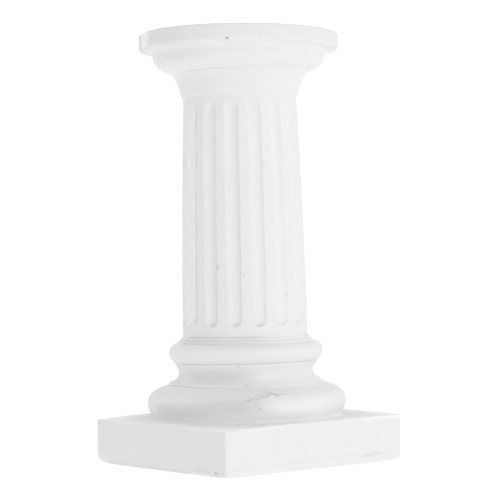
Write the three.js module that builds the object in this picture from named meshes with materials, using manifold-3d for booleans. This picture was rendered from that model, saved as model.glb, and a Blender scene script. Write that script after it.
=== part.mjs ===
// A small roman column cast in white plaster: square plinth, base of two tori and a scotia,
// fluted shaft with entasis, and a capital of cavetto, ovolo and round abacus.
// Millimetres, +Z up, origin at the middle of the underside, plinth sides along X and Y.
import * as THREE from 'three';
import { mergeVertices } from 'three/addons/utils/BufferGeometryUtils.js';
import Module from 'manifold-3d';

// Plinth
const PLINTH_SIDE = 70;
const PLINTH_TOP = 14.6;
const PLINTH_TOP_EASE = 0.4;
const PLINTH_FOOT_WEAR = { width: 1.3, height: 1.8, knee: 0.35 };

// Base mouldings, from the plinth up: radii and heights above the ground
const LOWER_TORUS = { radius: 31.85, bulge: 5.2, middle: 19.55, drop: 6.2, shoulder: 23.45, crown: 24.95 };
const LOWER_FILLET = { radius: 25.0, top: 26.05 };
const SCOTIA = { radius: 21.55, middle: 29.15 };
const UPPER_FILLET = { radius: 23.0, bottom: 32.0 };
const UPPER_TORUS = { radius: 24.8, bulge: 2.7, middle: 35.6, rise: 2.9 };
const FOOT_RINGS = [
  { foot: 21.9, head: 21.8, top: 39.5 },
  { foot: 20.95, head: 20.85, top: 40.45 },
];

// Shaft
const SHAFT_FOOT_RADIUS = 20.05;
const SHAFT_NECK_RADIUS = 18.35;
const SHAFT_TOP = 117.25;
const SHAFT_ROWS = 6;
const ENTASIS_START = 42.4;
const ENTASIS_END = 114.4;
const ENTASIS_POWER = 1.7;

// Flutes
const FLUTE_COUNT = 16;
const FLUTE_RADIUS = 2.6;
const FLUTE_AXIS_OUTSIDE = 1.12;
const FLUTE_BOTTOM = 43.8;
const FLUTE_TOP = 114.9;
const FLUTE_TURN_DEG = -1.4;
const FLUTE_SIDES = 12;
const FLUTE_ROWS = 5;
const FLUTE_END_ROWS = 3;

// Capital
const NECK_RINGS = [
  { foot: 18.8, head: 18.75, top: 117.9 },
  { foot: 19.2, head: 19.4, top: 119.4 },
];
const CAVETTO = { hollow: [20.45, 123.3], radius: 21.7, top: 124.7 };
const OVOLO = { foot: [21.9, 125.3], swell: [27.4, 126.2], radius: 27.95, top: 130.7 };
const SOFFIT = { hollow: [28.2, 132.0], cove: [30.6, 132.3], edge: 132.3 };
const ABACUS = { radius: 32.2, top: 137.4, ease: 0.4 };

// Scar broken out of the lower torus: shallow hollows, each placed by its climb up the shoulder, 0 to 1
const SCAR_HOLLOWS = [
  { azimuth: -35.2, climb: 0.4, half: [1.1, 2.3, 0.9], slope: 22 },
  { azimuth: -28.6, climb: 0.56, half: [1.2, 3.0, 1.1], slope: 14 },
  { azimuth: -20.4, climb: 0.54, half: [0.9, 3.3, 0.7], slope: -6 },
];
const SCAR_SINK = 0.35;
const SCAR_SIDES = 10;
const SCAR_ROWS = 6;

const LATHE_SEGMENTS = 48;
const CURVE_STEPS = 4;
const SMALL_CURVE_STEPS = 3;
const WELD_DISTANCE = 1e-4;
const PLASTER = { color: 0xe9e8e5, roughness: 0.85, metalness: 0 };

const wasm = await Module();
wasm.setup();

function solidFrom(geometry) {
  geometry.deleteAttribute('normal');
  geometry.deleteAttribute('uv');
  const merged = mergeVertices(geometry, WELD_DISTANCE);
  const index = merged.index.array;
  const triangles = [];
  for (let i = 0; i < index.length; i += 3) {
    const [a, b, c] = [index[i], index[i + 1], index[i + 2]];
    if (a !== b && b !== c && c !== a) {
      triangles.push(a, b, c);
    }
  }
  const mesh = new wasm.Mesh({
    numProp: 3,
    vertProperties: new Float32Array(merged.attributes.position.array),
    triVerts: new Uint32Array(triangles),
  });
  return new wasm.Manifold(mesh);
}

function geometryFrom(solid) {
  const mesh = solid.getMesh();
  const geometry = new THREE.BufferGeometry();
  geometry.setAttribute('position', new THREE.BufferAttribute(mesh.vertProperties, 3));
  geometry.setIndex(new THREE.BufferAttribute(mesh.triVerts, 1));
  geometry.computeVertexNormals();
  return geometry;
}

// Azimuths are measured in plan from -Y towards +X.
function atAzimuth(geometry, degrees) {
  return geometry.rotateZ(THREE.MathUtils.degToRad(degrees));
}

function shaftRadius(z) {
  const climb = THREE.MathUtils.clamp((z - ENTASIS_START) / (ENTASIS_END - ENTASIS_START), 0, 1);
  return THREE.MathUtils.lerp(SHAFT_FOOT_RADIUS, SHAFT_NECK_RADIUS, climb ** ENTASIS_POWER);
}

// A profile is a run of points up the outside, each a radius and a height.
function lineTo(profile, radius, z) {
  profile.push(new THREE.Vector2(radius, z));
}

function follow(profile, curve, steps) {
  profile.push(...curve.getPoints(steps).slice(1));
}

function bendTo(profile, pull, radius, z, steps) {
  const start = profile.at(-1);
  const end = new THREE.Vector2(radius, z);
  const bend = new THREE.QuadraticBezierCurve(start, new THREE.Vector2(...pull), end);
  follow(profile, bend, steps);
}

// Each ring is a step out or in, with a slightly sloping side.
function ringSteps(profile, rings) {
  for (const { foot, head, top } of rings) {
    lineTo(profile, foot, profile.at(-1).y);
    lineTo(profile, head, top);
  }
}

// The lower torus is fuller below than above, where it runs in flat to its fillet.
function lowerShoulder() {
  const { radius, middle, shoulder, crown } = LOWER_TORUS;
  return new THREE.QuadraticBezierCurve(
    new THREE.Vector2(radius, middle),
    new THREE.Vector2(radius, shoulder),
    new THREE.Vector2(LOWER_FILLET.radius, crown),
  );
}

function lowerTorusProfile(profile) {
  const { radius, bulge, middle, drop } = LOWER_TORUS;
  const centre = radius - bulge;
  lineTo(profile, 0, middle - drop);
  lineTo(profile, centre, middle - drop);
  follow(profile, new THREE.EllipseCurve(centre, middle, bulge, drop, -Math.PI / 2, 0), CURVE_STEPS);
  follow(profile, lowerShoulder(), CURVE_STEPS);
  lineTo(profile, LOWER_FILLET.radius, LOWER_FILLET.top);
}

function scotiaProfile(profile) {
  const sweep = LOWER_FILLET.radius - SCOTIA.radius;
  const depth = SCOTIA.middle - LOWER_FILLET.top;
  const scoop = new THREE.EllipseCurve(
    LOWER_FILLET.radius, SCOTIA.middle, sweep, depth, -Math.PI / 2, -Math.PI, true,
  );
  follow(profile, scoop, CURVE_STEPS);
  const pull = [SCOTIA.radius, (SCOTIA.middle + UPPER_FILLET.bottom) / 2];
  bendTo(profile, pull, UPPER_FILLET.radius, UPPER_FILLET.bottom, SMALL_CURVE_STEPS);
}

function upperTorusProfile(profile) {
  const { radius, bulge, middle, rise } = UPPER_TORUS;
  const centre = radius - bulge;
  lineTo(profile, UPPER_FILLET.radius, middle - rise);
  lineTo(profile, centre, middle - rise);
  const swell = new THREE.EllipseCurve(centre, middle, bulge, rise, -Math.PI / 2, Math.PI / 2);
  follow(profile, swell, 2 * SMALL_CURVE_STEPS);
}

function baseProfile(profile) {
  lowerTorusProfile(profile);
  scotiaProfile(profile);
  upperTorusProfile(profile);
  ringSteps(profile, FOOT_RINGS);
}

function shaftProfile(profile) {
  lineTo(profile, SHAFT_FOOT_RADIUS, profile.at(-1).y);
  for (let row = 0; row <= SHAFT_ROWS; row += 1) {
    const z = THREE.MathUtils.lerp(ENTASIS_START, ENTASIS_END, row / SHAFT_ROWS);
    lineTo(profile, shaftRadius(z), z);
  }
  lineTo(profile, SHAFT_NECK_RADIUS, SHAFT_TOP);
}

function capitalProfile(profile) {
  ringSteps(profile, NECK_RINGS);
  bendTo(profile, CAVETTO.hollow, CAVETTO.radius, CAVETTO.top, CURVE_STEPS);
  lineTo(profile, ...OVOLO.foot);
  bendTo(profile, OVOLO.swell, OVOLO.radius, OVOLO.top, CURVE_STEPS);
  bendTo(profile, SOFFIT.hollow, ...SOFFIT.cove, SMALL_CURVE_STEPS);
  lineTo(profile, ABACUS.radius - ABACUS.ease, SOFFIT.edge);
  lineTo(profile, ABACUS.radius, SOFFIT.edge + ABACUS.ease);
  lineTo(profile, ABACUS.radius, ABACUS.top - ABACUS.ease);
  lineTo(profile, ABACUS.radius - ABACUS.ease, ABACUS.top);
  lineTo(profile, 0, ABACUS.top);
}

function turnedColumn() {
  const profile = [];
  baseProfile(profile);
  shaftProfile(profile);
  capitalProfile(profile);
  const lathe = new THREE.LatheGeometry(profile, LATHE_SEGMENTS);
  return solidFrom(lathe.rotateX(Math.PI / 2));
}

// Four lathe segments make a square block, and its profile carries the eased top and the worn foot.
function plinth() {
  const half = PLINTH_SIDE / 2;
  const { width, height, knee } = PLINTH_FOOT_WEAR;
  const section = [
    [0, 0],
    [half - width, 0],
    [half - knee, height * knee],
    [half, height],
    [half, PLINTH_TOP - PLINTH_TOP_EASE],
    [half - PLINTH_TOP_EASE, PLINTH_TOP],
    [0, PLINTH_TOP],
  ];
  const points = section.map(([reach, z]) => new THREE.Vector2(reach * Math.SQRT2, z));
  const block = new THREE.LatheGeometry(points, 4, Math.PI / 4);
  return solidFrom(block.rotateX(Math.PI / 2));
}

// A round-ended channel that follows the swelling shaft.
function flute(azimuth) {
  const reach = Math.sqrt(FLUTE_RADIUS ** 2 - FLUTE_AXIS_OUTSIDE ** 2);
  const straight = FLUTE_TOP - FLUTE_BOTTOM - 2 * reach;
  const channel = new THREE.CapsuleGeometry(
    FLUTE_RADIUS, straight, FLUTE_END_ROWS, FLUTE_SIDES, FLUTE_ROWS,
  );
  channel.rotateX(Math.PI / 2);
  channel.translate(0, 0, (FLUTE_TOP + FLUTE_BOTTOM) / 2);
  const position = channel.attributes.position;
  for (let i = 0; i < position.count; i += 1) {
    const out = shaftRadius(position.getZ(i)) + FLUTE_AXIS_OUTSIDE;
    position.setY(i, position.getY(i) - out);
  }
  return solidFrom(atAzimuth(channel, azimuth));
}

function scarHollow({ azimuth, climb, half, slope }) {
  const hollow = new THREE.SphereGeometry(1, SCAR_SIDES, SCAR_ROWS);
  const [deep, wide, tall] = half;
  hollow.scale(wide, deep, tall);
  hollow.rotateY(THREE.MathUtils.degToRad(-slope));
  const surface = lowerShoulder().getPoint(climb);
  hollow.translate(0, -surface.x - SCAR_SINK, surface.y);
  return solidFrom(atAzimuth(hollow, azimuth));
}

function plasterColumn() {
  let solid = turnedColumn().add(plinth());
  for (let k = 0; k < FLUTE_COUNT; k += 1) {
    solid = solid.subtract(flute(FLUTE_TURN_DEG + (k * 360) / FLUTE_COUNT));
  }
  for (const hollow of SCAR_HOLLOWS) {
    solid = solid.subtract(scarHollow(hollow));
  }
  const column = new THREE.Mesh(geometryFrom(solid), new THREE.MeshStandardMaterial(PLASTER));
  column.name = 'plaster_column';
  return column;
}

const part = new THREE.Group();
part.add(plasterColumn());

export default part;
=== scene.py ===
import math

import bmesh
import bpy
import numpy as np
from mathutils import Matrix, Vector, noise
from mathutils.bvhtree import BVHTree


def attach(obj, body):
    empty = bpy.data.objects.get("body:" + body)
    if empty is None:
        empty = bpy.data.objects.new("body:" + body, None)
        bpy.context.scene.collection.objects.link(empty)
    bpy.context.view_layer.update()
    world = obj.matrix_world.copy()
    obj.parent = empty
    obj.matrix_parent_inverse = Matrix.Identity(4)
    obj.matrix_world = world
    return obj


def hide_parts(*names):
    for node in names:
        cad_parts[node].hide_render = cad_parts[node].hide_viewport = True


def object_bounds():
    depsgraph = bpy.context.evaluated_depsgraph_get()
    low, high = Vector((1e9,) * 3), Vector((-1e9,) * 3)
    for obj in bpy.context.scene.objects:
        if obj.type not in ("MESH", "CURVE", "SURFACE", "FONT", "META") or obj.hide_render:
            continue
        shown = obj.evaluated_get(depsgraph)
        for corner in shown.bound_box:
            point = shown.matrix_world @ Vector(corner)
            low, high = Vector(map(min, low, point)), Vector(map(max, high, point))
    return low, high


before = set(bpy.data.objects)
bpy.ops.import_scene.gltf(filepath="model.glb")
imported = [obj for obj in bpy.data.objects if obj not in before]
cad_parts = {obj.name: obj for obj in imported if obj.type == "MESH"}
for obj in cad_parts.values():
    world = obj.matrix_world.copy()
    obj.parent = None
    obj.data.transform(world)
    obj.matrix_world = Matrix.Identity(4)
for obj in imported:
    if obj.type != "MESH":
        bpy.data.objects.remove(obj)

MM = 0.001
cad_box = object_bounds()
PLINTH_HALF = cad_box[1].x / MM
COLUMN_TOP = cad_box[1].z / MM

# Plinth
PLINTH_TOP = 14.6
PLINTH_TOP_FADE = 0.6
PLINTH_INNER_RADIUS = 33.4
PLINTH_EDGE_ROUND = 0.5
PLINTH_CORNER_ROUND = 0.7
PLINTH_LEAN = {"side": -127.4, "slope": 0.021}
CORNERS = {
    "front": {"sides": (-1, -1), "droop": 0.68, "foot_round": 1.5},
    "right": {"sides": (1, -1), "droop": 0.2, "foot_round": 2.0},
    "back": {"sides": (1, 1), "droop": 0.4, "foot_round": 1.4},
    "left": {"sides": (-1, 1), "droop": 0.68, "foot_round": 3.2},
}
DROOP_REACH = 28.0
DROOP_POWER = 1.5
FOOT_WEAR_REACH = 1.6

# Ragged lip along the foot: (distance from the front corner, height) on the two sides that meet there.
# The foot is drawn in below the lip, and less so below a lip that is lower than a full one.
LIP_FRONT = (
    (0, 1.5), (2.5, 2.0), (4.7, 2.3), (5.1, 1.8), (11, 2.15), (17, 2.85), (20, 2.6), (28, 2.35), (34, 2.8),
    (43, 3.0), (49, 3.05), (55, 2.15), (57.5, 3.0), (61, 2.8), (65, 2.35), (67.6, 1.9), (70, 1.8),
)
LIP_LEFT = (
    (0, 1.0), (2.2, 1.05), (5.2, 1.2), (10.2, 1.45), (13.3, 1.25), (15.3, 1.5), (16.6, 0.9), (18.5, 0.3),
    (70, 0.25),
)
LIP_HIDDEN = 1.7
LIP_PROUD = 0.16
FOOT_INSET = 0.3
FULL_INSET_LIP = 1

# Base mouldings: radii and heights
LOWER_TORUS = {
    "radius": 31.85,
    "bulge": 5.2,
    "middle": 19.55,
    "drop": 6.2,
    "shoulder": 23.45,
    "crown": 24.95,
}
TORUS_FILLET = 1.1
LOWER_FILLET = {
    "radius": 25.0,
    "groove_depth": 0.48,
    "groove_height": 0.6,
    "top": (24.55, 26.0),
    "sweep": 26.45,
}
SCOTIA = {"radius": 21.55, "middle": 29.15}
UPPER_FILLET = {"radius": 23.0, "bottom": 31.75, "top": 32.15, "groove": (22.5, 32.4)}
UPPER_TORUS = {"radius": 24.8, "bulge": 2.7, "middle": 35.6, "rise": 2.75, "drop": 3.3, "turns": (-72, 88)}
FOOT_RINGS = ((21.9, 21.8, 39.3), (20.95, 20.85, 40.25))
GROOVE_DEPTH = 0.5
GROOVE_HEIGHT = 0.68
GROOVE_LOW_POINT = 0.3

# Shaft and flutes
SHAFT_FOOT_RADIUS = 20.05
SHAFT_NECK_RADIUS = 18.35
SHAFT_BOTTOM = 40.25
NECK_START = 116.25
ENTASIS_START = 42.4
ENTASIS_END = 114.4
ENTASIS_POWER = 1.7
FLUTE_COUNT = 16
FLUTE_RADIUS = 2.6
FLUTE_AXIS_OUTSIDE = 1.12
FLUTE_BOTTOM = 43.8
FLUTE_TOP = 114.9
FLUTE_TURN = -46.4
FLUTE_REACH = math.sqrt(FLUTE_RADIUS ** 2 - FLUTE_AXIS_OUTSIDE ** 2)
SHALLOW_FLUTES = {"azimuth": (-10, 60, 5), "fill": 0.25}

# Capital
NECK_RINGS = ((18.35, 117.2), (18.9, 117.55), (18.75, 117.85), (19.25, 118.2), (19.4, 119.4))
CAVETTO = {"hollow": (20.45, 123.3), "radius": 21.7, "top": 124.7, "nick": (21.35, 124.9)}
OVOLO = {"foot": (21.9, 125.3), "swell": (27.4, 126.2), "radius": 27.95, "top": 130.7}
SOFFIT = {"hollow": (28.2, 132.0), "cove": (30.6, 132.3), "edge": 132.3}
ABACUS = {"radius": 32.2, "ease": 0.4, "shoulder": 1.2}
ABACUS_FACET = {"azimuth": -111.8, "half_turn": 15.2, "bottom": 132.0, "reach": 60}
ABACUS_HIGH_SIDE = -127.4
ABACUS_RISE = ((119.0, 0.0), (132.3, 0.2), (137.4, 0.45))

# Mesh layout: columns round one sector, which is a flute and half of the land on each side of it
FLUTE_STEPS = np.array((-1, -0.985, -0.92, -0.78, -0.57, -0.3, 0, 0.3, 0.57, 0.78, 0.92, 0.985, 1))
LAND_STEPS = np.array((0.06, 0.35, 0.7))
SECTOR_COLUMNS = len(FLUTE_STEPS) + 2 * len(LAND_STEPS) + 1
COLUMNS = FLUTE_COUNT * SECTOR_COLUMNS
SECTOR_HALF = 180 / FLUTE_COUNT
CORNER_COLUMNS = 9
CURVE_POINTS = 40
PROFILE_STEP = 0.05
ROW_TURN = 0.2
ROW_SPACING = (0.16, 0.75)
EDGE_SOFTNESS = 0.15
SMEAR_SOFTNESS = 0.9
SHARP_ANGLE = 55
FLUTE_TIP_HALF_WIDTH = 0.35
FLUTE_COLUMNS_FADE = 2.5
SHAFT_ROWS = 58
SHAFT_LOW_ROWS = (42.9, 43.4)
SHAFT_HIGH_ROWS = (115.25, 115.7)
FLUTE_END_TURNS = (0, 15, 30, 44, 57, 69, 80, 90)

# Mesh layout of the plinth: rings out over the underside, up the lip (shares of its height and of the
# foot's inset), over the lip (share of its overhang, set back, rise), up the sides and in over the top
UNDERSIDE_SHARES = (0.12, 0.35, 0.6, 0.82, 0.95)
LIP_ROWS = ((0, 1.0), (0.06, 0.6), (0.2, 0.2), (0.5, 0.05), (0.75, 0.0), (0.9, 0.0))
LIP_CREST = ((0.95, 0, -0.06), (0.6, 0, 0.02), (0, 0.06, 0.08), (0, 0.03, 0.3))
SIDE_START = 0.7
SIDE_SHARES = (0, 0.15, 0.35, 0.55, 0.75, 0.9, 1)
EDGE_TURNS = (30, 60, 90)
TOP_SHARES = (0.06, 0.2, 0.4, 0.6, 0.8, 0.93)
ABACUS_TOP_SHARES = (0.93, 0.82, 0.66, 0.46, 0.26, 0.1)

# Unevenness of the cast, each as layers of (height or share, size of the lumps, seed)
SWELL = ((0.03, 14.0, 1), (0.01, 4.0, 2))
ABACUS_TOP_SWELL = ((0.05, 9.0, 5),)
PLINTH_SWELL = ((0.06, 16.0, 9), (0.03, 4.0, 10))
LIP_RAGGED = ((0.45, 7.0, 6), (0.2, 2.5, 7))
LIP_VARIES = ((0.6, 5.0, 8),)
# Patches in which the painted shade is stronger or weaker, in the same layers
SHADE_PATCHES = ((0.3, 6.0, 21),)

# The mould seam runs down both sides of the cast, at -X and +X; the near one was scraped with a knife.
# Smeared stretches of the seams and worn ones on the right: where each rises and falls in azimuth and height
SMEARS = (
    {"share": 1.0, "azimuth": (-115.5, -112, -90, -86.5), "height": (116, 117.5, 131.5, 132.5)},
    {"share": 1.0, "azimuth": (-143, -140, -106, -103), "height": (25.5, 28, 41, 42)},
    {"share": 0.6, "azimuth": (82, 86, 94, 98), "height": (24, 26, 131.5, 132.5)},
    {"share": 0.75, "azimuth": (-35, -5, 75, 105), "height": (117.5, 118.5, 126, 127)},
    {"share": 0.75, "azimuth": (-35, -5, 75, 105), "height": (37.4, 38, 41.5, 42.1)},
    {"share": 1.0, "azimuth": (-28, -12, 75, 91), "height": (22.5, 23.5, 27.5, 28.5)},
)
SCRAPE = {
    "azimuth": (-107.5, -88.5, 1.2),
    "height": (45.5, 112.5, 2.0),
    "depth": 0.12,
    "streak": 0.26,
    "streak_scale": (0.9, 0.07),
    "fine_streak": 0.14,
    "fine_scale": (2.2, 0.16),
}
SEAM_FLUTE = {"azimuth": FLUTE_TURN - 2 * 360 / FLUTE_COUNT, "half_turn": 9, "edge": 0.5, "fill": 0.9}

# Narrow groove that remains of the flute on the seam; its place, width and depth vary in layers as above
SEAM_GROOVE = {
    "azimuth": -87.1,
    "half_turn": 1.9,
    "depth": 1.5,
    "bottom": 45.2,
    "top": 113.0,
    "outside": 0.6,
    "place_varies": ((0.22, 3.0, 31), (0.25, 14.0, 32)),
    "width_varies": ((0.35, 4.0, 33),),
    "depth_varies": ((0.3, 5.0, 34),),
    "rows": 90,
}

# Bubbles, pits and chips: azimuth, height, half sizes (wide, tall, deep) and a turn in the surface
PITS = (
    (-43.5, 132.75, (0.5, 0.43, 0.9), 0),
    (-94.5, 135.0, (0.45, 0.5, 0.25), 0),
    (-69.9, 135.0, (0.3, 0.3, 0.15), 0),
    (-24.8, 133.9, (0.35, 0.4, 0.2), 0),
    (-42.8, 31.9, (0.4, 0.35, 0.45), 0),
    (-36.7, 25.55, (0.45, 0.4, 0.4), 0),
    (9.4, 25.75, (0.3, 0.3, 0.35), 0),
    (-62.3, 62.75, (0.9, 0.5, 0.6), -10),
    (-38.1, 60.1, (0.5, 0.5, 0.25), 20),
    (-16.4, 95.0, (0.6, 0.7, 0.22), 0),
    (4.9, 53.4, (0.35, 0.4, 0.25), 0),
    (-42.3, 72.3, (0.6, 0.6, 0.18), 0),
    (-121.0, 95.9, (1.5, 1.7, 0.3), 0),
    (-89.6, 45.9, (0.7, 0.8, 0.6), 0),
    (-25.0, 44.0, (0.8, 0.4, 0.25), 0),
    (-22.6, 44.2, (0.7, 0.35, 0.2), 0),
    (-49.6, 1.25, (0.45, 0.38, 0.7), 0),
    (32.5, 2.5, (3.4, 0.4, 0.35), 3),
)

# Fine specks on the two faces of the plinth that meet at the front corner: azimuth and height
SPECKS = (
    (-111.2, 6.0), (-100.5, 6.8), (-98.8, 2.2), (-61.9, 7.8), (-58.4, 5.9), (-38.6, 5.2), (-34.3, 10.0),
    (-28.6, 12.0), (-24.7, 7.3), (-20.3, 10.5), (-17.8, 8.7), (-13.1, 7.0),
)
SPECK_HALF_SIZE = (0.28, 0.22, 0.14)

# The scar broken out of the lower torus, as ragged hollows that run into each other
SCAR = (
    (-37.3, 21.9, (1.0, 0.7, 0.35), 20),
    (-35.6, 22.3, (1.4, 0.85, 0.5), 28),
    (-33.0, 22.95, (1.3, 0.6, 0.5), 25),
    (-30.7, 22.75, (0.4, 0.45, 0.5), 0),
    (-31.4, 22.5, (2.3, 0.95, 0.3), 18),
    (-31.9, 20.9, (0.3, 0.35, 0.2), 0),
    (-30.3, 19.2, (0.6, 0.25, 0.3), -20),
    (-28.3, 23.1, (1.0, 0.95, 0.55), 0),
    (-26.2, 23.25, (1.3, 1.0, 0.8), 10),
    (-23.1, 23.5, (1.6, 0.5, 0.75), -8),
    (-20.9, 23.25, (1.4, 0.38, 0.65), -14),
    (-18.9, 23.0, (0.7, 0.38, 0.9), -8),
    (-16.2, 23.05, (1.2, 0.2, 0.3), 8),
    (-13.6, 23.25, (1.1, 0.14, 0.2), 12),
)

# Thin scratches: half width, depth and the (azimuth, height) points that they run through
SCRATCHES = (
    (0.12, 0.12, ((-94.6, 129.7), (-92.3, 129.15), (-89.5, 128.3))),
    (0.12, 0.14, ((-61.7, 62.75), (-51.7, 62.05))),
    (0.16, 0.16, ((-60.4, 3.1), (-57.9, 2.4))),
    (0.3, 0.3, ((-92.8, 111.6), (-90.2, 114.4), (-87.4, 112.4))),
    (0.14, 0.2, ((-97.2, 112.0), (-96.6, 104.5))),
)

# Balls that the pits, the scar and the scratches are cut with: how rough they are, and their fineness
PIT_ROUGHNESS = 0.22
SCRATCH_ROUGHNESS = 0.1
SCRATCH_OVERLAP = 0.55
BALL_DETAIL = 2
RAY_START = 80.0

# Shares of light and shade painted into the plaster's tone: painted light in the first table (the scraped
# seam is cleaner plaster as well), painted shade in the second
# Painted light: lighter flutes, the left of the upper torus, a highlight on the lower torus' crest, the
# plinth's top and the abacus top; the scraped seam is cleaner plaster that also carries painted rim light
PAINTED_LIGHT_AND_CLEANER = {
    "flutes": 0.02,
    "upper_torus": 0.03,
    "rubbed_and_highlight": 0.03,
    "scraped": 0.06,
    "ledge": 0.12,
    "load_face": 0.08,
}
# Painted shade: on the lower torus and round its foot, in the scotia, at the flutes' lower ends, on the
# abacus rim and on the capital's left side
PAINTED_SHADE = {
    "torus": 0.14,
    "torus_foot": 0.015,
    "scotia": 0.1,
    "flute_ends": 0.08,
    "rim": 0.025,
    "capital_left_shade": 0.04,
}
# Painted shade in the pits and the scar: how dark it is, and how it grows with each hollow's depth
PIT_SHADE = 0.11
SHADE_PER_DEPTH = 1.5

# Plaster: greys of its mottle, roughness of its grain, scales of the noise, and bump heights in metres
PLASTER_GREYS = (0.862, 0.878)
PLASTER_ROUGHNESS = (0.82, 0.97)
MOTTLE_SCALE = 90
MATT_SCALE = 700
POWDER = {"scale": 1500, "height": 0.00006}
RUBBED = {"scale": 320, "height": 0.0002}
BUMP_STRENGTH = 0.25

# Studio floor: half its width in metres
FLOOR_REACH = 4.0

# Light of the studio's white walls and windows: turn from the camera's side, elevation and strength
WINDOWS = (
    (-135, 8, 1.35),
    (90, 8, 1.15),
    (135, 8, 0.35),
    (-135, 35, 1.4),
    (0, 35, 1.4),
    (45, 35, 0.78),
    (135, 35, 1.15),
    (-180, 62, 0.4),
    (0, 62, 1.02),
    (0, 90, 0.5),
)
WINDOW_TIGHTNESS = 12.0
HORIZON_SINES = (0.15, 0.2)
HORIZON_LIGHT = 1.03

# Camera: a long lens from a little below the middle of the column
CAMERA_AZIMUTH = -37.41
CAMERA_DISTANCE = 597.1
CAMERA_HEIGHT = 64.9
CAMERA_TILT = 0.29
CAMERA_YAW = 0.21
CAMERA_ROLL = 1.35
SENSOR_WIDTH = 36.0
FOCAL_PIXELS = 1849.0
IMAGE_PIXELS = 500.0


def smooth_step(values, start, end):
    share = np.clip((values - start) / (end - start), 0, 1)
    return share * share * (3 - 2 * share)


def ramp_band(values, rise_start, rise_end, fall_start, fall_end):
    """One between the rise and the fall, and nought outside them."""
    return smooth_step(values, rise_start, rise_end) * (1 - smooth_step(values, fall_start, fall_end))


def soft_band(values, low, high, edge):
    """One between low and high, falling to nought over the edge on either side."""
    return ramp_band(values, low - edge, low, high, high + edge)


def wobble(points, size, seed):
    """Smooth noise from -1 to 1 at points (in mm), with lumps of about the given size."""
    shape = points.shape[:-1]
    shifted = points.reshape(-1, 3) / size + seed * 17.3
    return np.array([noise.noise(Vector(p)) for p in shifted]).reshape(shape)


def unevenness(points, layers):
    """Sum of layers of noise, each with its own height, size of lumps and seed."""
    return sum(height * wobble(points, size, seed) for height, size, seed in layers)


def plan_point(azimuth, radius, z):
    """Point at an azimuth, radius and height, in the scene's metres."""
    angle = math.radians(azimuth)
    return Vector((radius * math.sin(angle), -radius * math.cos(angle), z)) * MM


def arc(centre, radii, start, end):
    angles = np.radians(np.linspace(start, end, CURVE_POINTS))
    return np.column_stack((centre[0] + radii[0] * np.cos(angles), centre[1] + radii[1] * np.sin(angles)))


def bend(start, pull, end):
    t = np.linspace(0, 1, CURVE_POINTS)[:, None]
    return (1 - t) ** 2 * np.array(start) + 2 * t * (1 - t) * np.array(pull) + t ** 2 * np.array(end)


def shaft_radius(z):
    climb = np.clip((z - ENTASIS_START) / (ENTASIS_END - ENTASIS_START), 0, 1)
    return SHAFT_FOOT_RADIUS + (SHAFT_NECK_RADIUS - SHAFT_FOOT_RADIUS) * climb ** ENTASIS_POWER


def groove(radius, z, depth, height):
    """A fine V cut into an upright face, from its foot up."""
    return [(radius, z), (radius - depth, z + GROOVE_LOW_POINT * height), (radius, z + height)]


def ring_grooves(rings, z, depth):
    """Thin rings one above the other, each with a groove at its foot."""
    points = []
    for foot, head, top in rings:
        points += groove(foot, z, depth, GROOVE_HEIGHT) + [(head, top)]
        z = top
    return points


def base_profile():
    """Radii and heights from the plinth's top to the foot of the shaft."""
    torus = LOWER_TORUS
    fillet = LOWER_FILLET
    centre = torus["radius"] - torus["bulge"]
    fillet_top = PLINTH_TOP + TORUS_FILLET
    foot_angle = -math.degrees(math.asin((torus["middle"] - fillet_top) / torus["drop"]))
    foot_radius = centre + torus["bulge"] * math.cos(math.radians(foot_angle))
    shoulder = bend(
        (torus["radius"], torus["middle"]),
        (torus["radius"], torus["shoulder"]),
        (fillet["radius"], torus["crown"]),
    )
    upper = UPPER_TORUS
    upper_centre = upper["radius"] - upper["bulge"]
    return np.concatenate((
        [(PLINTH_INNER_RADIUS, PLINTH_TOP)],
        bend(
            (foot_radius + TORUS_FILLET, PLINTH_TOP),
            (foot_radius, PLINTH_TOP),
            (foot_radius, fillet_top),
        )[:-1],
        arc((centre, torus["middle"]), (torus["bulge"], torus["drop"]), foot_angle, 0),
        shoulder[1:-1],
        groove(fillet["radius"], torus["crown"], fillet["groove_depth"], fillet["groove_height"]),
        bend(
            fillet["top"],
            (SCOTIA["radius"], fillet["sweep"]),
            (SCOTIA["radius"], SCOTIA["middle"]),
        ),
        bend(
            (SCOTIA["radius"], SCOTIA["middle"]),
            (SCOTIA["radius"], (SCOTIA["middle"] + UPPER_FILLET["bottom"]) / 2),
            (UPPER_FILLET["radius"], UPPER_FILLET["bottom"]),
        )[1:],
        [(UPPER_FILLET["radius"], UPPER_FILLET["top"]), UPPER_FILLET["groove"]],
        arc((upper_centre, upper["middle"]), (upper["bulge"], upper["drop"]), upper["turns"][0], 0),
        arc((upper_centre, upper["middle"]), (upper["bulge"], upper["rise"]), 0, upper["turns"][1])[1:],
        ring_grooves(FOOT_RINGS, upper["middle"] + upper["rise"], GROOVE_DEPTH),
        groove(SHAFT_FOOT_RADIUS, SHAFT_BOTTOM, GROOVE_DEPTH, GROOVE_HEIGHT),
        [(SHAFT_FOOT_RADIUS, ENTASIS_START)],
    ))


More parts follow.
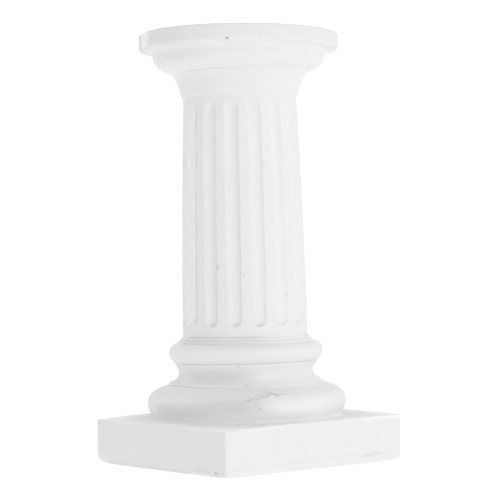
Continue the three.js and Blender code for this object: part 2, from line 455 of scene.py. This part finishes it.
def capital_profile():
    """Radii and heights from the neck of the shaft to the rim of the abacus."""
    cavetto_foot = NECK_RINGS[-1]
    rim = ABACUS["radius"]
    ease = ABACUS["ease"]
    return np.concatenate((
        [(SHAFT_NECK_RADIUS, NECK_START)],
        NECK_RINGS,
        bend(cavetto_foot, CAVETTO["hollow"], (CAVETTO["radius"], CAVETTO["top"]))[1:],
        [CAVETTO["nick"]],
        bend(OVOLO["foot"], OVOLO["swell"], (OVOLO["radius"], OVOLO["top"])),
        bend((OVOLO["radius"], OVOLO["top"]), SOFFIT["hollow"], SOFFIT["cove"])[1:],
        [(rim - ease, SOFFIT["edge"]), (rim, SOFFIT["edge"] + ease)],
        [(rim, COLUMN_TOP - ease), (rim - ease, COLUMN_TOP), (rim - ABACUS["shoulder"], COLUMN_TOP)],
    ))


def even_steps(points):
    """The same run of straight stretches with points at even steps along it."""
    lengths = np.hypot(*np.diff(points, axis=0).T)
    along = np.concatenate(([0], np.cumsum(lengths)))
    keep = np.concatenate(([True], lengths > 1e-9))
    stations = np.linspace(0, along[-1], int(along[-1] / PROFILE_STEP) + 1)
    return np.column_stack([np.interp(stations, along[keep], points[keep, axis]) for axis in (0, 1)])


def soften(points, spread):
    """Rounds a run of evenly spaced points off by a bell curve; its ends stay where they are."""
    reach = int(4 * spread / PROFILE_STEP)
    weights = np.exp(-0.5 * (np.arange(-reach, reach + 1) * PROFILE_STEP / spread) ** 2)
    weights /= weights.sum()
    before = 2 * points[0] - points[reach:0:-1]
    after = 2 * points[-1] - points[-2:-reach - 2:-1]
    padded = np.concatenate((before, points, after))
    return np.column_stack([np.convolve(padded[:, axis], weights, "valid") for axis in (0, 1)])


def profile_rows(points):
    """Rows along a profile, closer where it bends: crisp points, smeared points and outward normals."""
    dense = even_steps(points)
    crisp = soften(dense, EDGE_SOFTNESS)
    smeared = soften(dense, SMEAR_SOFTNESS)
    tangent = np.gradient(crisp, axis=0)
    tangent /= np.linalg.norm(tangent, axis=1)[:, None]
    turning = np.linalg.norm(np.gradient(tangent, axis=0), axis=1) / PROFILE_STEP
    spacing = np.clip(ROW_TURN / np.maximum(turning, 1e-6), *ROW_SPACING)
    progress = np.concatenate(([0], np.cumsum(PROFILE_STEP / spacing[1:])))
    count = int(round(progress[-1]))
    picks = np.searchsorted(progress, np.linspace(0, progress[-1], count + 1))
    picks = np.unique(np.clip(picks, 0, len(crisp) - 1))
    normal = np.column_stack((tangent[:, 1], -tangent[:, 0]))
    return crisp[picks], smeared[picks], normal[picks]


def shaft_rows():
    """Rows up the shaft, closer together at the round ends of the flutes."""
    ends = FLUTE_REACH * np.sin(np.radians(FLUTE_END_TURNS))
    low = FLUTE_BOTTOM + FLUTE_REACH - ends[::-1]
    high = FLUTE_TOP - FLUTE_REACH + ends
    straight = np.linspace(low[-1], high[0], SHAFT_ROWS)[1:-1]
    heights = np.concatenate((SHAFT_LOW_ROWS, low, straight, high, SHAFT_HIGH_ROWS))
    points = np.column_stack((shaft_radius(heights), heights))
    outward = np.tile((1.0, 0.0), (len(heights), 1))
    return points, points, outward


def column_offsets(radius, beyond):
    """Azimuth of every column from the middle of its flute; some columns keep to the flute's arrises."""
    half_width = np.sqrt(np.maximum(FLUTE_REACH ** 2 - beyond ** 2, FLUTE_TIP_HALF_WIDTH ** 2))
    arris = np.degrees(half_width / radius)
    land = SECTOR_HALF - arris
    fluted = np.concatenate((
        -arris - land * np.append(LAND_STEPS, 1)[::-1],
        arris * FLUTE_STEPS,
        arris + land * LAND_STEPS,
    ), axis=1)
    even = np.linspace(-SECTOR_HALF, SECTOR_HALF, SECTOR_COLUMNS, endpoint=False)
    share = 1 - smooth_step(beyond - FLUTE_REACH, 0, FLUTE_COLUMNS_FADE)
    return np.tile(even + (fluted - even) * share, (1, FLUTE_COUNT))


def flute_depth(offset, radius, beyond):
    """Depth of a round-ended flute, away from its middle and beyond the straight part of its length."""
    across = np.radians(offset) * radius
    hollow = np.maximum(FLUTE_RADIUS ** 2 - across ** 2 - beyond ** 2, 0)
    return np.maximum(np.sqrt(hollow) - FLUTE_AXIS_OUTSIDE, 0)


def turned_grid():
    """The turned part from the plinth's top to the abacus: rows, columns and x, y, z in millimetres."""
    runs = (profile_rows(base_profile()), shaft_rows(), profile_rows(capital_profile()))
    crisp, smeared, normal = (np.concatenate(parts) for parts in zip(*runs))
    height = crisp[:, 1:]
    radius = crisp[:, :1]
    beyond = np.maximum(height - (FLUTE_TOP - FLUTE_REACH), FLUTE_BOTTOM + FLUTE_REACH - height)
    beyond = np.maximum(beyond, 0)
    offset = column_offsets(radius, beyond)
    middle = FLUTE_TURN + np.repeat(np.arange(FLUTE_COUNT) * 2 * SECTOR_HALF, SECTOR_COLUMNS)
    azimuth = (middle + offset + 180) % 360 - 180
    level = np.broadcast_to(height, azimuth.shape)

    depth = flute_depth(offset, radius, beyond) * flute_fill(azimuth)
    smear = seam_smear(azimuth, level)
    r = radius + (smeared[:, :1] - radius) * smear - depth - scrape(azimuth, level)
    z = height + (smeared[:, 1:] - height) * smear
    r = np.where(height > ABACUS_FACET["bottom"], np.minimum(r, facet_limit(azimuth)), r)
    angle = np.radians(azimuth)
    points = np.stack((r * np.sin(angle), -r * np.cos(angle), z), axis=-1)
    out = np.stack((normal[:, :1] * np.sin(angle), -normal[:, :1] * np.cos(angle),
                    np.broadcast_to(normal[:, 1:], angle.shape)), axis=-1)
    points += out * unevenness(points, SWELL)[..., None]
    points[..., 2] += abacus_rise(points)
    return points


def seam_smear(azimuth, height):
    """Share by which the mouldings are smeared or worn, from nought to one."""
    smear = 0
    for stretch in SMEARS:
        band = ramp_band(azimuth, *stretch["azimuth"]) * ramp_band(height, *stretch["height"])
        smear = smear + stretch["share"] * band
    return np.clip(smear, 0, 1)


def flute_fill(azimuth):
    """Share of a flute's depth that is left: the one on the seam is nearly filled, some are shallow."""
    seam = SEAM_FLUTE
    low = seam["azimuth"] - seam["half_turn"]
    high = seam["azimuth"] + seam["half_turn"]
    filled = seam["fill"] * soft_band(azimuth, low, high, seam["edge"])
    return 1 - filled - SHALLOW_FLUTES["fill"] * soft_band(azimuth, *SHALLOW_FLUTES["azimuth"])


def scrape(azimuth, height):
    """Depth of the knife's upright streaks on the scraped seam."""
    zone = soft_band(azimuth, *SCRAPE["azimuth"]) * soft_band(height, *SCRAPE["height"])
    across, up = SCRAPE["streak_scale"]
    broad = np.stack((azimuth * across, height * up, np.zeros_like(azimuth)), axis=-1)
    across, up = SCRAPE["fine_scale"]
    fine = np.stack((azimuth * across, height * up, np.ones_like(azimuth)), axis=-1)
    streaks = SCRAPE["depth"] + SCRAPE["streak"] * wobble(broad, 1.0, 3)
    return zone * (streaks + SCRAPE["fine_streak"] * wobble(fine, 1.0, 4))


def facet_limit(azimuth):
    """Radius of the flat that was scraped on the abacus, and no limit elsewhere."""
    turn = np.radians(azimuth - ABACUS_FACET["azimuth"])
    chord = ABACUS["radius"] * math.cos(math.radians(ABACUS_FACET["half_turn"]))
    near = np.abs(turn) < np.radians(ABACUS_FACET["reach"])
    return np.where(near, chord / np.cos(np.where(near, turn, 0)), np.inf)


def abacus_rise(points):
    """The capital isn't quite level: its top rises a little towards one side."""
    heights, rises = zip(*ABACUS_RISE)
    side = math.radians(ABACUS_HIGH_SIDE)
    reach = (points[..., 0] * math.sin(side) - points[..., 1] * math.cos(side)) / ABACUS["radius"]
    return np.interp(points[..., 2], heights, rises) * reach


def abacus_top(rim):
    """Rings from the rim of the abacus in towards its middle."""
    shares = np.array(ABACUS_TOP_SHARES)[:, None, None]
    middle = np.array((0, 0, rim[:, 2].mean()))
    rings = middle + (rim - middle) * shares
    rings[..., 2] += unevenness(rings, ABACUS_TOP_SWELL)
    return rings


def square_ring():
    """A rounded square at the plinth's outside, with its outward normals, for all columns."""
    quarter = COLUMNS // 4
    place = np.arange(COLUMNS) - SECTOR_COLUMNS // 2
    turn = (place / quarter + 0.5) % 1 - 0.5
    corner = ((place + quarter // 2) // quarter) % 4
    share = CORNER_COLUMNS / quarter
    bend_angle = np.clip(turn / share, -0.5, 0.5) * 90
    straight = np.sign(turn) * np.maximum(np.abs(turn) - share / 2, 0) / (0.5 - share / 2)
    straight = straight * (PLINTH_HALF - PLINTH_CORNER_ROUND)
    heading = np.radians(-45 + 90 * corner + bend_angle)
    normal = np.column_stack((np.sin(heading), -np.cos(heading)))
    diagonal = np.radians(-45 + 90 * corner)
    hub = np.column_stack((np.sin(diagonal), -np.cos(diagonal))) * math.sqrt(2)
    hub = hub * (PLINTH_HALF - PLINTH_CORNER_ROUND)
    along = np.column_stack((np.cos(heading), np.sin(heading)))
    return hub + normal * PLINTH_CORNER_ROUND + along * straight[:, None], normal


def corner_distance(x, y, sides):
    return np.hypot(x - sides[0] * PLINTH_HALF, y - sides[1] * PLINTH_HALF)


def plinth_top_height(x, y):
    """The top of the plinth is a little crowned and falls off towards its corners."""
    height = np.full_like(x, PLINTH_TOP)
    for corner in CORNERS.values():
        near = 1 - np.minimum(corner_distance(x, y, corner["sides"]) / DROOP_REACH, 1)
        height = height - corner["droop"] * near ** DROOP_POWER
    return height


def lip_height(ring, normal):
    """Height of the ragged lip: as listed on the two front sides, by chance on the hidden ones."""
    x, y = ring.T
    place = np.column_stack((x, y, np.zeros_like(x)))
    hidden = LIP_HIDDEN + unevenness(place, LIP_RAGGED)
    front = np.interp(x + PLINTH_HALF, *zip(*LIP_FRONT))
    left = np.interp(y + PLINTH_HALF, *zip(*LIP_LEFT))
    on_front = smooth_step(-normal[:, 1], 0.3, 0.8)
    on_left = smooth_step(-normal[:, 0], 0.3, 0.8)
    known = np.clip(on_front + on_left, 1e-6, None)
    shown = (front * on_front + left * on_left) / known
    return hidden + (shown - hidden) * np.clip(known, 0, 1)


def foot_wear(ring, z):
    """How far the plinth's foot is worn back near its corners at height z."""
    wear = np.zeros(len(ring))
    for corner in CORNERS.values():
        size = corner["foot_round"]
        rise = np.clip(1 - z / size, 0, 1)
        inset = size * (1 - np.sqrt(1 - rise ** 2))
        near = np.exp(-(corner_distance(*ring.T, corner["sides"]) / (FOOT_WEAR_REACH * size)) ** 2)
        wear = wear + inset * near
    return wear


def plinth_rows(first_ring):
    """Rings from the middle of the underside, out, up the sides and in over the top to the first ring."""
    ring, normal = square_ring()
    outward = ring / np.linalg.norm(ring, axis=1)[:, None]
    top = plinth_top_height(*ring.T)
    lip = lip_height(ring, normal)
    proud = LIP_PROUD * (1 + unevenness(np.column_stack((ring, lip * 0)), LIP_VARIES))
    foot_inset = FOOT_INSET * np.minimum(lip, FULL_INSET_LIP)
    rows = []

    def add(offset, z):
        xy = ring + normal * offset[:, None] - outward * foot_wear(ring, z)[:, None]
        rows.append(np.column_stack((xy, z)))

    none = np.zeros(COLUMNS)
    for share, inset in LIP_ROWS:
        add(proud * (1 - inset) - foot_inset * inset, lip * share)
    for share, back, rise in LIP_CREST:
        add(proud * share - back, lip + rise)
    start = lip + SIDE_START
    for share in SIDE_SHARES:
        add(none, start + (top - PLINTH_EDGE_ROUND - start) * share)
    for turn in EDGE_TURNS:
        angle = math.radians(turn)
        lift = PLINTH_EDGE_ROUND * math.sin(angle)
        inset = PLINTH_EDGE_ROUND * (1 - math.cos(angle))
        add(none - inset, top - PLINTH_EDGE_ROUND + lift)
    edge = rows[-1]
    for share in TOP_SHARES:
        xy = edge[:, :2] + (first_ring[:, :2] - edge[:, :2]) * share
        rows.append(np.column_stack((xy, plinth_top_height(*xy.T))))
    underside = [rows[0] * share for share in UNDERSIDE_SHARES]
    rows = np.array(underside + rows)

    first_side = len(UNDERSIDE_SHARES) + len(LIP_ROWS) + len(LIP_CREST)
    sides = slice(first_side + 1, first_side + len(SIDE_SHARES) + 2)
    rows[sides, :, :2] += normal * unevenness(rows[sides], PLINTH_SWELL)[..., None]
    lean = PLINTH_LEAN["slope"] * np.maximum(PLINTH_TOP - rows[..., 2], 0)
    side = math.radians(PLINTH_LEAN["side"])
    rows[..., 0] += lean * math.sin(side)
    rows[..., 1] -= lean * math.cos(side)
    return rows


def closed_mesh(name, grid):
    """A mesh from rows of columns, closed by a fan below the first row and one above the last."""
    count = len(grid)
    ends = np.array((grid[0].mean(0), grid[-1].mean(0)))
    vertices = np.concatenate((grid.reshape(-1, 3), ends)) * MM
    here = np.arange(COLUMNS)
    onward = (here + 1) % COLUMNS
    faces = []
    for row in range(count - 1):
        low = row * COLUMNS
        high = low + COLUMNS
        faces += np.column_stack((low + here, low + onward, high + onward, high + here)).tolist()
    last = (count - 1) * COLUMNS
    faces += np.column_stack((onward, here, np.full(COLUMNS, count * COLUMNS))).tolist()
    faces += np.column_stack((last + here, last + onward, np.full(COLUMNS, count * COLUMNS + 1))).tolist()
    mesh = bpy.data.meshes.new(name)
    mesh.from_pydata(vertices.tolist(), [], faces)
    mesh.validate()
    return mesh


def column_piece():
    """The whole cast without its pits and scratches; the torus' foot follows the plinth's drooped top."""
    turned = turned_grid()
    sunk = plinth_top_height(turned[..., 0], turned[..., 1]) - PLINTH_TOP
    fade = 1 - smooth_step(turned[..., 2], PLINTH_TOP, PLINTH_TOP + PLINTH_TOP_FADE)
    turned[..., 2] += sunk * fade
    grid = np.concatenate((plinth_rows(turned[0]), turned, abacus_top(turned[-1])))
    piece = bpy.data.objects.new("plaster_column_cast", closed_mesh("plaster_column_cast", grid))
    bpy.context.scene.collection.objects.link(piece)
    return piece


def rough_ball(half, seed, rough):
    """A lumpy ball with the given half sizes, as a bmesh in millimetres."""
    ball = bmesh.new()
    bmesh.ops.create_icosphere(ball, subdivisions=BALL_DETAIL, radius=1)
    for vertex in ball.verts:
        lump = noise.noise(vertex.co * 1.7 + Vector((seed * 5.1, 0, 0)))
        lump += 0.5 * noise.noise(vertex.co * 4.1 + Vector((0, seed * 3.7, 0)))
        vertex.co *= 1 + rough * lump
        vertex.co = Vector((vertex.co.x * half[0], vertex.co.y * half[1], vertex.co.z * half[2]))
    return ball


def surface_frame(tree, azimuth, height, turn):
    """Matrix at the point of the surface met from outside, with its Z axis out of the surface."""
    angle = math.radians(azimuth)
    inward = Vector((-math.sin(angle), math.cos(angle), 0))
    start = Vector((0, 0, height * MM)) - inward * (RAY_START * MM)
    point, out, _, _ = tree.ray_cast(start, inward)
    across = Vector((0, 0, 1)).cross(out).normalized()
    axes = Matrix((across, out.cross(across), out)).transposed().to_4x4()
    return Matrix.Translation(point) @ axes @ Matrix.Rotation(math.radians(turn), 4, "Z")


def combine(piece, tool, operation):
    """Joins the tool to the piece or cuts it out, and removes the tool."""
    modifier = piece.modifiers.new("combine", "BOOLEAN")
    modifier.operation = operation
    modifier.solver = "MANIFOLD"
    modifier.object = tool
    depsgraph = bpy.context.evaluated_depsgraph_get()
    result = bpy.data.meshes.new_from_object(piece.evaluated_get(depsgraph))
    piece.modifiers.clear()
    piece.data = result
    bpy.data.objects.remove(tool)


def carve(piece, shapes):
    """Cuts the shapes, each a bmesh in the scene's metres, out of the piece."""
    tools = []
    for shape in shapes:
        mesh = bpy.data.meshes.new("tool")
        shape.to_mesh(mesh)
        shape.free()
        tools.append(bpy.data.objects.new("tool", mesh))
        bpy.context.scene.collection.objects.link(tools[-1])
    whole = tools.pop()
    for tool in tools:
        combine(whole, tool, "UNION")
    combine(piece, whole, "DIFFERENCE")


def pit_shapes(tree, pits):
    shapes = []
    for number, (azimuth, height, half, turn) in enumerate(pits):
        ball = rough_ball(half, number + 1, PIT_ROUGHNESS)
        place = surface_frame(tree, azimuth, height, turn)
        bmesh.ops.transform(ball, matrix=place @ Matrix.Scale(MM, 4), verts=ball.verts)
        shapes.append(ball)
    return shapes


def seam_groove_shape():
    """A ragged wedge that follows the shaft up, as a bmesh in the scene's metres."""
    seam = SEAM_GROOVE
    heights = np.linspace(seam["bottom"], seam["top"], seam["rows"])
    place = np.column_stack((heights * 0, heights * 0, heights))
    turns = seam["azimuth"] + unevenness(place, seam["place_varies"])
    half_turns = seam["half_turn"] * (1 + unevenness(place, seam["width_varies"]))
    depths = seam["depth"] * (1 + unevenness(place, seam["depth_varies"]))
    wedge = bmesh.new()
    rings = []
    for z, turn, half_turn, depth in zip(heights, turns, half_turns, depths):
        outside = shaft_radius(z) + seam["outside"]
        inside = shaft_radius(z) - depth
        corners = ((turn - half_turn, outside), (turn, inside), (turn + half_turn, outside))
        rings.append([wedge.verts.new(plan_point(azimuth, radius, z)) for azimuth, radius in corners])
    for low, high in zip(rings, rings[1:]):
        for here, onward in ((0, 1), (1, 2), (2, 0)):
            wedge.faces.new((low[here], low[onward], high[onward], high[here]))
    wedge.faces.new(rings[0][::-1])
    wedge.faces.new(rings[-1])
    bmesh.ops.recalc_face_normals(wedge, faces=wedge.faces)
    return wedge


def scratch_shapes(tree, scratches):
    shapes = []
    for half_width, depth, path in scratches:
        frames = [surface_frame(tree, azimuth, height, 0) for azimuth, height in path]
        for first, second in zip(frames, frames[1:]):
            along = second.translation - first.translation
            half_length = SCRATCH_OVERLAP * along.length / MM
            ball = rough_ball((half_length, half_width, depth), 1, SCRATCH_ROUGHNESS)
            heading = along.normalized()
            out = (first.col[2].xyz + second.col[2].xyz).normalized()
            axes = Matrix((heading, out.cross(heading), out)).transposed().to_4x4()
            middle = Matrix.Translation((first.translation + second.translation) / 2)
            bmesh.ops.transform(ball, matrix=middle @ axes @ Matrix.Scale(MM, 4), verts=ball.verts)
            shapes.append(ball)
    return shapes


def tone_places(azimuth, radius, z):
    """Where light and shade are painted into the plaster's tone, and where the scraped seam is cleaner, each
    as shares from nought to one.
    """
    sunk = (shaft_radius(z) - radius) * soft_band(z, FLUTE_BOTTOM, FLUTE_TOP, 1.0)
    flute_foot = 1 - smooth_step(z, FLUTE_BOTTOM + 0.6, FLUTE_BOTTOM + 2.0)
    torus_middle = 18.0 + 1.9 * smooth_step(azimuth, -85, -45)
    torus_foot = soft_band(z, 14.9, 16.6, 1.4) * (1 - smooth_step(radius, 32.0, 35.0))
    torus_crest = soft_band(z, 17.8, 20.0, 1.6) * smooth_step(radius, 30.0, 30.5)
    abacus = smooth_step(z, 132.6, 133.2)
    rim = smooth_step(radius, 31.2, 31.6) * abacus
    load_face = abacus - rim
    capital = smooth_step(z, 125.5, 128.0) * (1 - 0.5 * rim) * (1 - load_face)
    return {
        # Painted light inside the flutes and painted shade at their lower ends
        "flutes": smooth_step(sunk, 0.25, 1.2),
        "flute_ends": smooth_step(sunk, 0.05, 0.4) * flute_foot,
        # Cleaner plaster on the scraped seam, with painted rim light as well
        "scraped": soft_band(azimuth, -127, -89, 3) * soft_band(z, 46, 112, 3),
        # Painted light on the left of the upper torus
        "upper_torus": soft_band(azimuth, -140, -62, 20) * soft_band(z, 33.0, 37.5, 1.0),
        # Painted shade in the scotia, on the lower torus and round its foot; a painted highlight on the
        # torus' crest
        "scotia": soft_band(azimuth, -82, -40, 18) * soft_band(z, 27.8, 29.4, 2.0),
        "torus": soft_band(azimuth, -92, -36, 16) * soft_band(z - torus_middle, -0.9, 0.9, 2.3),
        "torus_foot": soft_band(azimuth, -60, -10, 25) * torus_foot,
        "rubbed_and_highlight": soft_band(azimuth, -18, 4, 12) * torus_crest,
        # Painted light on the plinth's top, growing away from the lower torus, and painted shade on the
        # capital's left side
        "ledge": soft_band(z, 14.0, 14.9, 0.4) * smooth_step(radius, 32.0, 46.0),
        "capital_left_shade": soft_band(azimuth, -125, -75, 25) * capital,
        # Painted shade on the abacus rim and painted light on the abacus top
        "rim": rim,
        "load_face": load_face,
    }


def pit_shade(azimuth, radius, z):
    """Painted shade in the pits and the scar, from nought to one; the deeper a hollow, the darker it is
    painted.
    """
    darkening = np.zeros_like(z)
    for side, height, (wide, tall, deep), turn in PITS + SCAR:
        across = np.radians((azimuth - side + 180) % 360 - 180) * radius
        cosine = math.cos(math.radians(turn))
        sine = math.sin(math.radians(turn))
        u = (across * cosine + (z - height) * sine) / wide
        v = ((z - height) * cosine - across * sine) / tall
        full = min(SHADE_PER_DEPTH * deep, 1)
        darkening = np.maximum(darkening, full * (1 - smooth_step(np.hypot(u, v), 0.7, 1.3)))
    return darkening


def surface_tone(points):
    """Share of the plaster's whiteness at points in millimetres, with the painted light and shade in it."""
    x, y, z = points.T
    azimuth = np.degrees(np.arctan2(x, -y))
    radius = np.hypot(x, y)
    places = tone_places(azimuth, radius, z)
    lightened = sum(share * places[name] for name, share in PAINTED_LIGHT_AND_CLEANER.items())
    shaded = sum(share * places[name] for name, share in PAINTED_SHADE.items())
    patchy = 1 + unevenness(points, SHADE_PATCHES)
    return 1 + lightened - patchy * shaded - PIT_SHADE * pit_shade(azimuth, radius, z)


def paint_shading(piece):
    """Gives every point of the piece its tone, which holds the painted light and shade."""
    points = np.array([vertex.co for vertex in piece.data.vertices]) / MM
    tone = piece.data.attributes.new("tone", "FLOAT", "POINT")
    tone.data.foreach_set("value", surface_tone(points).astype(np.float32))


def plaster_material():
    material = bpy.data.materials.new("plaster")
    material.use_nodes = True
    nodes = material.node_tree.nodes
    links = material.node_tree.links
    shader = nodes["Principled BSDF"]
    shader.inputs["Specular IOR Level"].default_value = 0.25
    place = nodes.new("ShaderNodeTexCoord")

    def grain(scale, detail, roughness=0.55):
        texture = nodes.new("ShaderNodeTexNoise")
        texture.inputs["Scale"].default_value = scale
        texture.inputs["Detail"].default_value = detail
        texture.inputs["Roughness"].default_value = roughness
        links.new(place.outputs["Object"], texture.inputs["Vector"])
        return texture.outputs["Fac"]

    def ramp(source, low, high, greys):
        node = nodes.new("ShaderNodeValToRGB")
        node.color_ramp.elements[0].position = low
        node.color_ramp.elements[1].position = high
        for element, grey in zip(node.color_ramp.elements, greys):
            element.color = (grey, grey, grey, 1)
        links.new(source, node.inputs["Fac"])
        return node.outputs["Color"]

    mottle = ramp(grain(MOTTLE_SCALE, 6, 0.6), 0.3, 0.7, PLASTER_GREYS)
    # The tone attribute lightens and darkens the base colour with the painted light and shade
    tone = nodes.new("ShaderNodeAttribute")
    tone.attribute_name = "tone"
    toned = nodes.new("ShaderNodeVectorMath")
    toned.operation = "SCALE"
    links.new(mottle, toned.inputs["Vector"])
    links.new(tone.outputs["Fac"], toned.inputs["Scale"])
    links.new(toned.outputs["Vector"], shader.inputs["Base Color"])
    matt = ramp(grain(MATT_SCALE, 3), 0.25, 0.75, PLASTER_ROUGHNESS)
    links.new(matt, shader.inputs["Roughness"])

    powder = nodes.new("ShaderNodeBump")
    powder.inputs["Strength"].default_value = BUMP_STRENGTH
    powder.inputs["Distance"].default_value = POWDER["height"]
    links.new(grain(POWDER["scale"], 4, 0.6), powder.inputs["Height"])
    # Bump of the rubbed grain
    rubbed_and_highlight = nodes.new("ShaderNodeBump")
    rubbed_and_highlight.inputs["Strength"].default_value = BUMP_STRENGTH
    rubbed_and_highlight.inputs["Distance"].default_value = RUBBED["height"]
    links.new(grain(RUBBED["scale"], 3), rubbed_and_highlight.inputs["Height"])
    links.new(powder.outputs["Normal"], rubbed_and_highlight.inputs["Normal"])
    links.new(rubbed_and_highlight.outputs["Normal"], shader.inputs["Normal"])
    return material


def floor():
    """A plain white floor that shines by itself, so that no shadow edge shows on it."""
    mesh = bpy.data.meshes.new("studio_floor")
    signs = ((-1, -1), (1, -1), (1, 1), (-1, 1))
    corners = [(x * FLOOR_REACH, y * FLOOR_REACH, 0) for x, y in signs]
    mesh.from_pydata(corners, [], [(0, 1, 2, 3)])
    plane = bpy.data.objects.new("studio_floor", mesh)
    bpy.context.scene.collection.objects.link(plane)
    material = bpy.data.materials.new("studio_floor")
    material.use_nodes = True
    shader = material.node_tree.nodes["Principled BSDF"]
    shader.inputs["Base Color"].default_value = (0, 0, 0, 1)
    shader.inputs["Roughness"].default_value = 1.0
    shader.inputs["Specular IOR Level"].default_value = 0.0
    shader.inputs["Emission Color"].default_value = (1, 1, 1, 1)
    shader.inputs["Emission Strength"].default_value = 1.0
    mesh.materials.append(material)


def studio():
    """Soft light from all round: a bright horizon and windows that fade out at their edges."""
    scene = bpy.context.scene
    scene.view_settings.view_transform = "Standard"
    world = bpy.data.worlds.new("studio")
    world.use_nodes = True
    nodes = world.node_tree.nodes
    links = world.node_tree.links
    background = nodes["Background"]
    background.inputs["Color"].default_value = (1, 1, 1, 1)
    direction = nodes.new("ShaderNodeTexCoord").outputs["Generated"]

    def calculate(operation, first, second):
        node = nodes.new("ShaderNodeMath")
        node.operation = operation
        for socket, value in zip(node.inputs, (first, second)):
            if isinstance(value, float):
                socket.default_value = value
            else:
                links.new(value, socket)
        return node.outputs["Value"]

    split = nodes.new("ShaderNodeSeparateXYZ")
    links.new(direction, split.inputs["Vector"])
    horizon = nodes.new("ShaderNodeMapRange")
    horizon.interpolation_type = "SMOOTHSTEP"
    links.new(split.outputs["Z"], horizon.inputs["Value"])
    horizon.inputs["From Min"].default_value = HORIZON_SINES[0]
    horizon.inputs["From Max"].default_value = HORIZON_SINES[1]
    horizon.inputs["To Min"].default_value = HORIZON_LIGHT
    horizon.inputs["To Max"].default_value = 0.0
    total = horizon.outputs["Result"]
    for turn, elevation, strength in WINDOWS:
        heading = math.radians(CAMERA_AZIMUTH + turn)
        level = math.cos(math.radians(elevation))
        rise = math.sin(math.radians(elevation))
        aim = nodes.new("ShaderNodeVectorMath")
        aim.operation = "DOT_PRODUCT"
        links.new(direction, aim.inputs[0])
        aim.inputs[1].default_value = (math.sin(heading) * level, -math.cos(heading) * level, rise)
        near = calculate("SUBTRACT", aim.outputs["Value"], 1.0)
        glow = calculate("POWER", math.e, calculate("MULTIPLY", near, WINDOW_TIGHTNESS))
        total = calculate("ADD", total, calculate("MULTIPLY", glow, strength))
    links.new(total, background.inputs["Strength"])
    scene.world = world


def camera():
    data = bpy.data.cameras.new("camera")
    data.sensor_width = SENSOR_WIDTH
    data.lens = FOCAL_PIXELS / IMAGE_PIXELS * SENSOR_WIDTH
    holder = bpy.data.objects.new("camera", data)
    bpy.context.scene.collection.objects.link(holder)
    holder.location = plan_point(CAMERA_AZIMUTH, CAMERA_DISTANCE, CAMERA_HEIGHT)
    heading = Matrix.Rotation(math.radians(CAMERA_AZIMUTH - CAMERA_YAW), 3, "Z")
    lift = Matrix.Rotation(math.radians(90 + CAMERA_TILT), 3, "X")
    roll = Matrix.Rotation(math.radians(-CAMERA_ROLL), 3, "Z")
    holder.rotation_euler = (heading @ lift @ roll).to_euler()
    bpy.context.scene.camera = holder


camera()
floor()
studio()
column = column_piece()
tree = BVHTree.FromPolygons([v.co for v in column.data.vertices], [p.vertices for p in column.data.polygons])
specks = tuple((azimuth, height, SPECK_HALF_SIZE, 0) for azimuth, height in SPECKS)
marks = pit_shapes(tree, PITS + SCAR + specks) + scratch_shapes(tree, SCRATCHES)
carve(column, marks + [seam_groove_shape()])
paint_shading(column)
column.data.shade_smooth()
column.data.set_sharp_from_angle(angle=math.radians(SHARP_ANGLE))
column.data.materials.clear()
column.data.materials.append(plaster_material())
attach(column, "root")
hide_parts("plaster_column")
